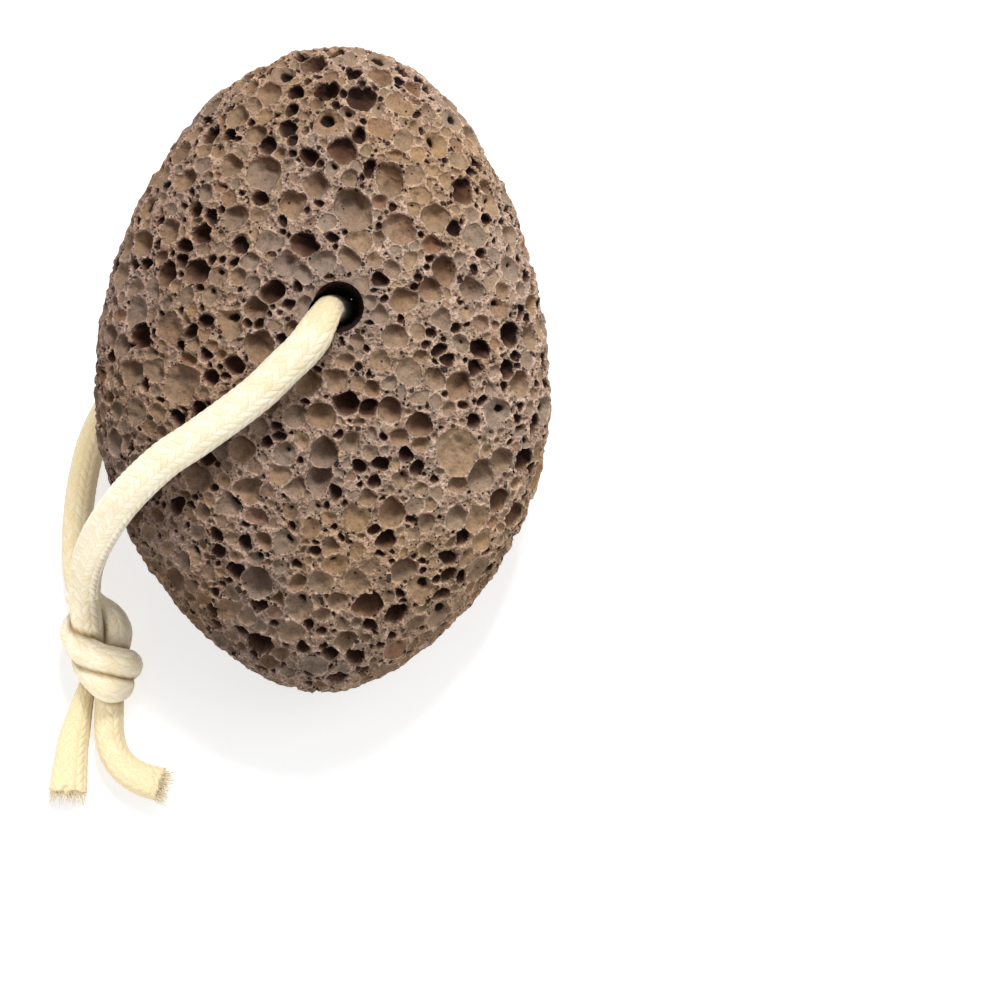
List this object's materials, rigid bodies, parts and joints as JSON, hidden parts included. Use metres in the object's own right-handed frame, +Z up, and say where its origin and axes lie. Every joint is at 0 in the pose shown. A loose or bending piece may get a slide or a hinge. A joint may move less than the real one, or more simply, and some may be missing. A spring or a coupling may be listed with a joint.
{
  "type": "pumice foot stone with cord",
  "caption": "Egg-shaped pumice foot stone covered in burst bubbles, drilled through, on a knotted loop of braided cotton cord.",
  "frame": {"origin": "middle of the stone's footprint, on the surface that it rests on, measured without the cord", "axes": "+Z up, +Y along the stone towards its narrow end, +X to the right when the narrow end points away"},
  "size_m": [0.0801, 0.1126, 0.0468],
  "materials": {
    "pumice": "dry, rough foamed lava, grey brown, with darker pits and paler ridges",
    "cotton_cord": "unbleached braided cotton, matt and slightly fuzzy"
  },
  "bodies": {
    "root": {"stone": "pumice", "cord_front_strand": "cotton_cord", "cord_back_strand": "cotton_cord", "cord_knot": "cotton_cord", "cord_tail_left": "cotton_cord", "cord_tail_right": "cotton_cord"}
  },
  "joints": []
}
